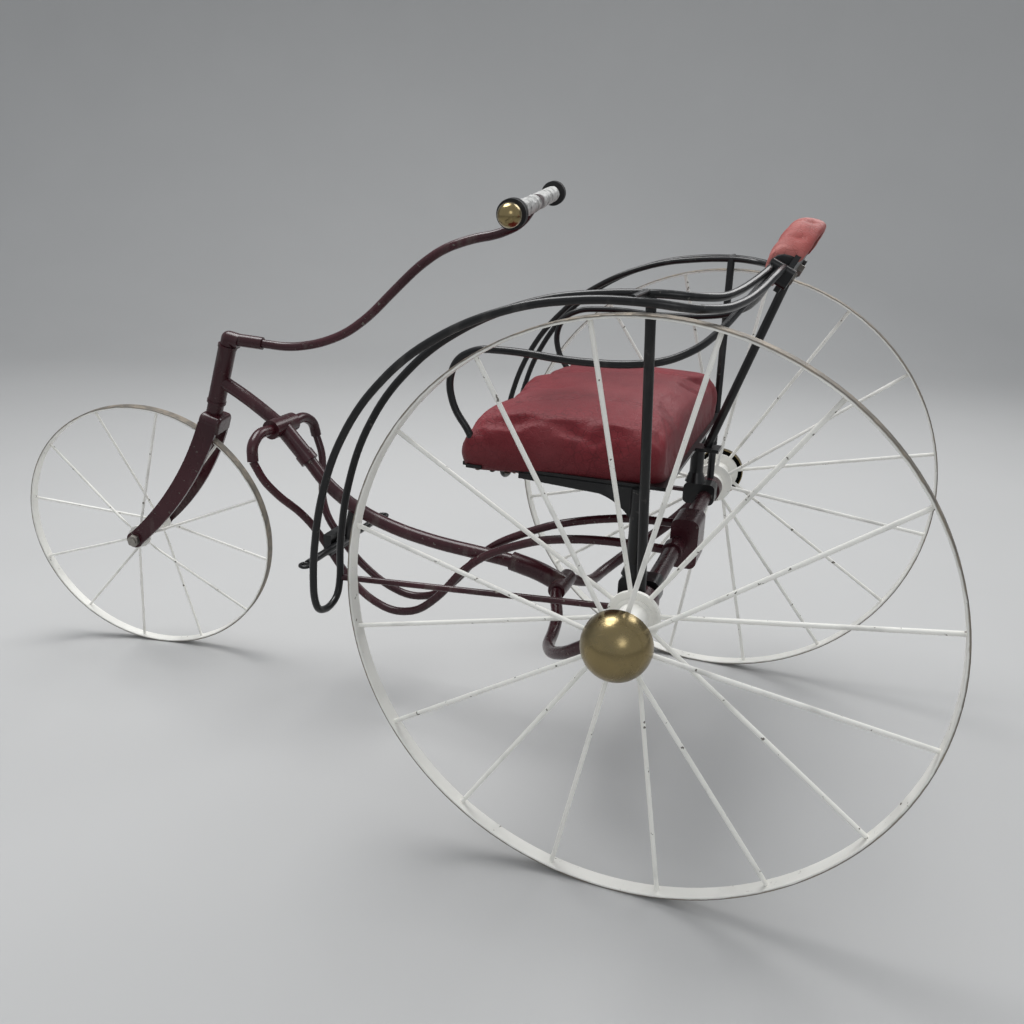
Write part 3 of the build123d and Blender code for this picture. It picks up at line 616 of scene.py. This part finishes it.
def cushion_folds(middle, half, bottom, edge):
    """Folds that run in from the tucked corners and the drawn-down front edge."""
    top = edge + 0.016

    def at(u, v, height):
        return middle.xy.to_3d() + Vector((u * half.x, v * half.y, height))

    # Each mirrored fold: points as (u, v, height), then its width and depth. The order is kept.
    mirrored = (
        (((0.98, 0.93, bottom), (1.0, 0.95, edge - 0.012), (0.90, 0.86, edge + 0.006)),
         0.0045, 0.0045),
        (((-0.97, 0.90, bottom), (-1.0, 0.93, edge - 0.010), (-0.80, 0.80, top - 0.004)),
         0.0050, 0.0048),
        (((-0.99, 0.97, edge - 0.006), (-0.62, 0.92, edge + 0.004), (-0.20, 0.90, edge + 0.004),
          (0.30, 0.95, edge - 0.006)), 0.0075, 0.0036),
        (((-0.95, 0.93, edge), (-0.55, 0.66, top - 0.001), (-0.10, 0.55, top + 0.006)),
         0.0080, 0.0032),
        (((0.96, 0.70, edge), (0.70, 0.52, top - 0.002), (0.30, 0.50, top + 0.005)),
         0.0060, 0.0028),
        (((0.98, 0.45, edge - 0.004), (0.72, 0.30, top - 0.001)), 0.0055, 0.0026),
        (((0.55, 1.0, edge - 0.008), (0.75, 1.02, bottom + 0.02), (0.88, 1.0, bottom)),
         0.0060, 0.0028),
        (((-0.80, 1.0, edge - 0.010), (-0.55, 1.02, bottom + 0.018), (-0.40, 1.0, bottom)),
         0.0055, 0.0024),
    )
    single = (
        (((-1.0, 0.28, edge - 0.006), (-0.70, 0.20, top), (-0.35, 0.30, top + 0.008)),
         0.010, 0.0034),
        (((-1.0, -0.35, edge - 0.006), (-0.66, -0.22, top), (-0.40, -0.30, top + 0.008)),
         0.010, 0.0034),
    )
    folds = []
    for side in (-1, 1):
        for points, width, depth in mirrored:
            folds.append(([at(u, side * v, height) for u, v, height in points], width, depth))
    for points, width, depth in single:
        folds.append(([at(*point) for point in points], width, depth))
    return folds


def back_pad_cover(material):
    """The back pad: a stuffed roll lapped over the top of the arched board."""
    board_low, board_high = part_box("back_board")
    lean = math.atan(BOARD_LEAN)
    up = Vector((math.sin(lean), 0, math.cos(lean)))
    front = Vector((-math.cos(lean), 0, math.sin(lean)))
    half_width = (board_high.y - board_low.y) / 2 - PAD_END_INSET
    origin = REAR_AXLE + BOARD_FROM_AXLE

    def on_board(u):
        return origin + ACROSS * (u * half_width) + up * (BOARD_ARCH * (1 - u * u))

    section = [
        (-0.0245, 0.002), (-0.0235, 0.010), (-0.018, 0.0185), (-0.007, 0.0245), (0.006, 0.0262),
        (0.0165, 0.0215), (0.0225, 0.0125), (0.0255, 0.002), (0.0262, -0.006), (0.0225, -0.0095),
        (0.0165, -0.0092), (0.0195, -0.0068), (0.0190, 0.0035), (0.006, 0.0045), (-0.010, 0.0038),
        (-0.020, 0.0030),
    ]
    rings = []
    rows = 34
    for row in range(rows + 1):
        u = 2 * row / rows - 1
        swell = 1.0 - 0.16 * abs(u) ** 7
        ring = []
        for rise, out in section:
            flutter = 0.0014 * noise.noise(Vector((u * 7.0, rise * 120.0, out * 120.0)))
            pucker = 0.0016 * math.cos(u * 46.0) * abs(u) ** 4 if out > 0.004 else 0.0
            point = on_board(u) + up * (rise * swell)
            ring.append(point + front * (out * swell + flutter + pucker))
        rings.append(ring)
    ends = [(rings[0], -ACROSS), (rings[-1], ACROSS)]
    vertices, faces = loft(rings)
    pad = new_piece("back_pad_cover", vertices, faces, material, "faded_red_leather")
    subdivide(pad, 2)
    folds = []
    for u in (-0.78, -0.30, 0.22, 0.66):
        base = on_board(u)
        folds.append((
            [base + up * 0.024 + front * 0.006, base + ACROSS * 0.010 + up * 0.004 + front * 0.026,
             base + ACROSS * 0.003 - up * 0.018 + front * 0.019],
            0.0050, 0.0022,
        ))
    crease(pad, folds)
    return dress(pad, material), ends


def pad_end_fill(ends, material):
    """The dark stuffing and board end that show inside the pad's two open ends."""
    forms = []
    for ring, outward in ends:
        skin = ring[:9]
        middle = sum(skin, Vector()) / len(skin)
        rings = []
        for scale, push in ((0.80, -0.002), (0.80, 0.0008), (0.66, 0.0014), (0.30, 0.0006)):
            rings.append([middle + (point - middle) * scale + outward * push for point in skin])
        if outward.y < 0:
            rings = [list(reversed(points)) for points in rings]
        forms.append(rings)
    return new_piece("back_pad_ends", *join_lofts(forms), material, "black_enamel")


# ---- handle, seat trim and wheel trim --------------------------------------------------------------
def grip_wraps(sizes, material):
    """Crinkled strip wound round each half of the handle."""
    mesh = frame["nodes"]["handle_grips"].data
    bar_low, bar_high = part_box("handle_bar")
    centre = (bar_low + bar_high) / 2
    reach = [abs((vertex.co - centre).dot(FRONT_AXIS)) for vertex in mesh.vertices]
    start, end = min(reach), max(reach)
    side_way = HEAD_AXIS.cross(FRONT_AXIS).normalized()
    up = FRONT_AXIS.cross(side_way).normalized()
    forms = []
    for hand in (-1, 1):
        rings = []
        for row in range(GRIP_ROWS + 1):
            spot = row / GRIP_ROWS * (end - start)
            ring = []
            for i in range(GRIP_POINTS):
                angle = 2 * math.pi * i / GRIP_POINTS
                phase = (spot / sizes.pitch + angle / (2 * math.pi)) % 1.0
                lap = sizes.ridge * (phase ** 3)
                rough = noise.noise(Vector((
                    spot * 210.0, 2.2 * math.cos(angle), 2.2 * math.sin(angle) + hand
                )))
                close = min(1.0, min(row, GRIP_ROWS - row) / 3 + 0.55)
                radius = (GRIP_RADIUS + lap + 0.0009 * rough) * close
                radial = side_way * math.cos(angle) + up * math.sin(angle)
                ring.append(centre + FRONT_AXIS * (hand * (start + spot)) + radial * radius)
            rings.append(ring if hand > 0 else list(reversed(ring)))
        forms.append(rings)
    return new_piece("grip_wraps", *join_lofts(forms), material, "wrapped_grip")


def dome_at(centre, axis, radius, height, segments, rows):
    """Rings of a small rounded head, from its rim to just short of its middle."""
    axis = axis.normalized()
    first = axis.orthogonal().normalized()
    second = axis.cross(first)
    rings = []
    for row in range(rows):
        bend = 0.5 * math.pi * row / rows
        ring = []
        for i in range(segments):
            angle = 2 * math.pi * i / segments
            out = first * math.cos(angle) + second * math.sin(angle)
            ring.append(centre + out * (radius * math.cos(bend)) + axis * (height * math.sin(bend)))
        rings.append(ring)
    return rings


def heads(name, spots, material, slot, radius, height):
    """Many small rounded heads as one piece."""
    forms = [dome_at(centre, axis, radius, height, 12, 5) for centre, axis in spots]
    return new_piece(name, *join_lofts(forms), material, slot)


def tack_spots(spacing):
    """Upholstery tacks along the underside of the pan's front and side edges."""
    low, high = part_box("seat_cushion")
    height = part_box("seat_pan")[0].z - 0.0034
    inset = 0.007
    start_x, start_y = low.x + 2 * inset, low.y + 2 * inset
    run_x, run_y = high.x - low.x - 4 * inset, high.y - low.y - 4 * inset
    count = int(run_y / spacing)
    places = [(low.x + inset, start_y + run_y * i / count) for i in range(count + 1)]
    count = int(run_x / spacing)
    for side in (low.y + inset, high.y - inset):
        places += [(start_x + run_x * i / count, side) for i in range(count + 1)]
    return [(Vector((x, y, height)), -UPWARD) for x, y in places]


# ---- operators ------------------------------------------------------------------------------------
class TRICYCLE_OT_paint_frame(bpy.types.Operator):
    """Maroon enamel on the frame, fork and tiller"""

    bl_idname = "tricycle.paint_frame"
    bl_label = "Paint the frame"

    def execute(self, context):
        colours, wear = context.scene.tricycle_colours, context.scene.tricycle_wear
        maroon, worn = tuple(colours.maroon), tuple(colours.worn_steel)
        paint = enamel("maroon_enamel", maroon, worn, wear.chips, 0.20)
        paint_nodes(nodes_of("maroon_enamel"), paint)
        return {"FINISHED"}


class TRICYCLE_OT_paint_irons(bpy.types.Operator):
    """Black enamel on the guards, rails, stays and seat irons"""

    bl_idname = "tricycle.paint_irons"
    bl_label = "Paint the irons"

    def execute(self, context):
        colours, wear = context.scene.tricycle_colours, context.scene.tricycle_wear
        paint = enamel("black_enamel", tuple(colours.black), (0.10, 0.095, 0.088), wear.chips, 0.24)
        paint_nodes(nodes_of("black_enamel"), paint)
        return {"FINISHED"}


class TRICYCLE_OT_paint_wheels(bpy.types.Operator):
    """Cream enamel on the three wheels, worn off where they roll"""

    bl_idname = "tricycle.paint_wheels"
    bl_label = "Paint the wheels"

    def execute(self, context):
        colours, wear = context.scene.tricycle_colours, context.scene.tricycle_wear
        cream, worn = tuple(colours.cream), tuple(colours.worn_steel)
        paint_nodes(nodes_of("cream_enamel"), hub_enamel("cream_enamel", cream, worn))
        low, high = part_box("wheel_rim_left")
        radius = (high.z - low.z) / 2
        depth = wear.tread_depth
        rear = band_finish("rear_band", cream, worn, REAR_AXLE, ACROSS, radius, depth)
        paint_nodes(("wheel_rim_left", "wheel_rim_right"), rear)
        reach = [
            (vertex.co - FRONT_AXLE).cross(FRONT_AXIS).length
            for vertex in frame["nodes"]["front_rim"].data.vertices
        ]
        front = band_finish(
            "front_band", cream, worn, FRONT_AXLE, FRONT_AXIS, max(reach), depth
        )
        paint_nodes(("front_rim",), front)
        return {"FINISHED"}


class TRICYCLE_OT_finish_metals(bpy.types.Operator):
    """Aged brass on the domes and balls, bare steel on nuts, axles and rings"""

    bl_idname = "tricycle.finish_metals"
    bl_label = "Finish the bare metals"

    def execute(self, context):
        colours, wear = context.scene.tricycle_colours, context.scene.tricycle_wear
        brass = tuple(colours.brass)
        paint_nodes(nodes_of("aged_brass"), old_brass("aged_brass", brass, wear.tarnish))
        for side, outward in (("left", -1), ("right", 1)):
            low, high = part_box("wheel_dome_" + side)
            radius = (high.z - low.z) / 2
            centre = (low + high) / 2
            centre.y = (low.y if outward < 0 else high.y) - outward * radius
            # Each dome's finish has painted shade, near black, inside its hollow shell.
            shell = old_brass("dome_brass_inner_shade_" + side, brass, wear.tarnish, centre, radius)
            paint_nodes(("wheel_dome_" + side,), shell)
        paint_nodes(nodes_of("bare_steel"), bare_steel("bare_steel", (0.33, 0.31, 0.28)))
        paint_nodes(nodes_of("black_rubber"), dull_rubber("black_rubber"))
        paint_nodes(nodes_of("ivory_ring"), ivory("ivory_ring"))
        return {"FINISHED"}


class TRICYCLE_OT_cover_seat(bpy.types.Operator):
    """The stuffed seat cushion's cover"""

    bl_idname = "tricycle.cover_seat"
    bl_label = "Cover the seat"

    def execute(self, context):
        colours, wear = context.scene.tricycle_colours, context.scene.tricycle_wear
        dusty = (0.27, 0.062, 0.068)
        # The seat leather gets painted shade low on the cushion's sides.
        leather = worn_leather(
            "red_leather", tuple(colours.leather), dusty, wear.dust, 0.6, *painted_shade_heights()
        )
        cover = cushion_cover(context.scene.tricycle_upholstery, leather)
        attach(cover, "frame")
        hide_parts("seat_cushion")
        return {"FINISHED"}


class TRICYCLE_OT_cover_back(bpy.types.Operator):
    """The faded pad lapped over the back board"""

    bl_idname = "tricycle.cover_back"
    bl_label = "Cover the back pad"

    def execute(self, context):
        colours, wear = context.scene.tricycle_colours, context.scene.tricycle_wear
        dusty = (0.62, 0.32, 0.28)
        leather = worn_leather("faded_red_leather", tuple(colours.faded), dusty, wear.dust, 0.5)
        pad, ends = back_pad_cover(leather)
        fill = pad_end_fill(ends, dull_rubber("dark_stuffing"))
        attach(fill, "frame")
        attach(pad, "frame")
        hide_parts("back_pad")
        return {"FINISHED"}


class TRICYCLE_OT_wrap_grips(bpy.types.Operator):
    """Crinkled wraps on the handle"""

    bl_idname = "tricycle.wrap_grips"
    bl_label = "Wrap the grips"

    def execute(self, context):
        colours = context.scene.tricycle_colours
        wrap = crinkled_wrap("wrapped_grip", tuple(colours.grip))
        grips = grip_wraps(context.scene.tricycle_grips, wrap)
        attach(grips, "steering")
        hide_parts("handle_grips")
        return {"FINISHED"}


class TRICYCLE_OT_add_trim(bpy.types.Operator):
    """Tacks under the seat and the small studs on the hub domes"""

    bl_idname = "tricycle.add_trim"
    bl_label = "Add tacks and studs"

    def execute(self, context):
        iron = bare_steel("dark_tacks", (0.10, 0.085, 0.07))
        spots = tack_spots(context.scene.tricycle_grips.tacks)
        tacks = heads("seat_tacks", spots, iron, "bare_steel", 0.0032, 0.0020)
        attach(tacks, "frame")
        brass = frame["nodes"]["wheel_dome_left"].material_slots[0].material
        for side, sign in (("left", -1), ("right", 1)):
            low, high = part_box("wheel_dome_" + side)
            tip = low.y if sign < 0 else high.y
            spot = Vector(((low.x + high.x) / 2, tip - sign * 0.0007, (low.z + high.z) / 2))
            place = [(spot, ACROSS * sign)]
            stud = heads("dome_stud_" + side, place, brass, "aged_brass", 0.0045, 0.0007)
            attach(stud, "wheel_" + side)
        return {"FINISHED"}


class TRICYCLE_OT_set_stage(bpy.types.Operator):
    """Pale floor, soft lights and the camera"""

    bl_idname = "tricycle.set_stage"
    bl_label = "Set the stage"

    def execute(self, context):
        stage = context.scene.tricycle_stage
        self.add_floor(tuple(stage.floor))
        for name, strength, place, size in (
            ("key", stage.key, (-0.7, 0.35, 2.7), 1.5),
            ("fill", stage.fill, (1.5, -2.2, 1.9), 1.2),
            ("rim", stage.rim, (0.9, 2.0, 2.2), 1.4),
        ):
            self.add_light(name, strength, place, size)
        world = bpy.data.worlds.new("studio_air")
        world.use_nodes = True
        air = world.node_tree.nodes["Background"]
        air.inputs["Color"].default_value = (0.93, 0.96, 1.0, 1.0)
        air.inputs["Strength"].default_value = 0.56
        context.scene.world = world
        context.scene.camera = self.add_camera(stage.lens)
        context.scene.view_settings.view_transform = "Standard"
        return {"FINISHED"}

    def add_floor(self, tint):
        """A level floor that sweeps up behind into a backdrop, square to the camera."""
        mesh = bpy.data.meshes.new("studio_floor")
        shape = bmesh.new()
        front, back, side, sweep_radius, top = -9.0, 2.6, 12.0, 1.6, 5.0
        line = [Vector((0, front, 0)), Vector((0, back, 0))]
        for i in range(1, 13):
            bend = 0.5 * math.pi * i / 12
            run, rise = sweep_radius * math.sin(bend), sweep_radius * (1 - math.cos(bend))
            line.append(Vector((0, back + run, rise)))
        line.append(Vector((0, back + sweep_radius, top)))
        turn = Matrix.Rotation(CAMERA_YAW, 3, "Z")
        rows = []
        for end in (-side, side):
            rows.append([shape.verts.new(turn @ (point + Vector((end, 0, 0)))) for point in line])
        for i in range(len(line) - 1):
            shape.faces.new((rows[0][i], rows[1][i], rows[1][i + 1], rows[0][i + 1]))
        shape.to_mesh(mesh)
        shape.free()
        floor = bpy.data.objects.new("studio_floor", mesh)
        bpy.context.scene.collection.objects.link(floor)
        finish = Finish("studio_floor", {"Specular IOR Level": 0.2})
        shade = finish.cloud(3.0, 3.0)
        base = finish.mix(shade, lighter(tint, 0.97), lighter(tint, 1.02))
        mesh.materials.append(finish.done(base, 0.65 + 0.1 * shade))
        for face in mesh.polygons:
            face.use_smooth = True

    def add_light(self, name, strength, place, size):
        lamp = bpy.data.lights.new(name, "AREA")
        lamp.energy = strength
        lamp.shape = "DISK"
        lamp.size = size
        holder = bpy.data.objects.new(name, lamp)
        holder.location = place
        aim = Vector((0, 0, 0.35)) - Vector(place)
        holder.rotation_euler = aim.to_track_quat("-Z", "Y").to_euler()
        bpy.context.scene.collection.objects.link(holder)

    def add_camera(self, lens):
        lens_body = bpy.data.cameras.new("camera")
        lens_body.sensor_width = 36.0
        lens_body.lens = lens
        camera = bpy.data.objects.new("camera", lens_body)
        bpy.context.scene.collection.objects.link(camera)
        right = Vector((math.cos(CAMERA_YAW), math.sin(CAMERA_YAW), 0))
        ahead = Vector((
            -math.sin(CAMERA_YAW) * math.cos(CAMERA_PITCH),
            math.cos(CAMERA_YAW) * math.cos(CAMERA_PITCH),
            -math.sin(CAMERA_PITCH),
        ))
        up = right.cross(ahead)
        turned_right = right * math.cos(CAMERA_ROLL) + up * math.sin(CAMERA_ROLL)
        turned_up = -right * math.sin(CAMERA_ROLL) + up * math.cos(CAMERA_ROLL)
        turn = Matrix((turned_right, turned_up, -ahead)).transposed().to_4x4()
        place = Matrix.Translation(Vector((REAR_AXLE.x, 0, 0)) + CAMERA_FROM_AXLE)
        camera.matrix_world = place @ turn
        return camera


class TRICYCLE_PT_panel(bpy.types.Panel):
    """Lists the tricycle's operators and settings"""

    bl_idname = "TRICYCLE_PT_panel"
    bl_label = "Tricycle"
    bl_space_type = "VIEW_3D"
    bl_region_type = "UI"
    bl_category = "Tricycle"

    def draw(self, context):
        for step in STEPS:
            self.layout.operator(step.bl_idname)
        for name, kind in SETTINGS:
            box = self.layout.box()
            group = getattr(context.scene, name)
            for key in kind.__annotations__:
                box.prop(group, key)


STEPS = (
    TRICYCLE_OT_paint_frame,
    TRICYCLE_OT_paint_irons,
    TRICYCLE_OT_paint_wheels,
    TRICYCLE_OT_finish_metals,
    TRICYCLE_OT_cover_seat,
    TRICYCLE_OT_cover_back,
    TRICYCLE_OT_wrap_grips,
    TRICYCLE_OT_add_trim,
    TRICYCLE_OT_set_stage,
)
SETTINGS = (
    ("tricycle_colours", TricycleColours),
    ("tricycle_wear", TricycleWear),
    ("tricycle_upholstery", TricycleUpholstery),
    ("tricycle_grips", TricycleGrips),
    ("tricycle_stage", TricycleStage),
)


def register():
    for name, kind in SETTINGS:
        bpy.utils.register_class(kind)
        setattr(bpy.types.Scene, name, PointerProperty(type=kind))
    for step in STEPS + (TRICYCLE_PT_panel,):
        bpy.utils.register_class(step)


def unregister():
    for step in reversed(STEPS + (TRICYCLE_PT_panel,)):
        bpy.utils.unregister_class(step)
    for name, kind in reversed(SETTINGS):
        delattr(bpy.types.Scene, name)
        bpy.utils.unregister_class(kind)


def main():
    register()
    for step in STEPS:
        group, action = step.bl_idname.split(".")
        getattr(getattr(bpy.ops, group), action)()


if __name__ == "__main__":
    main()
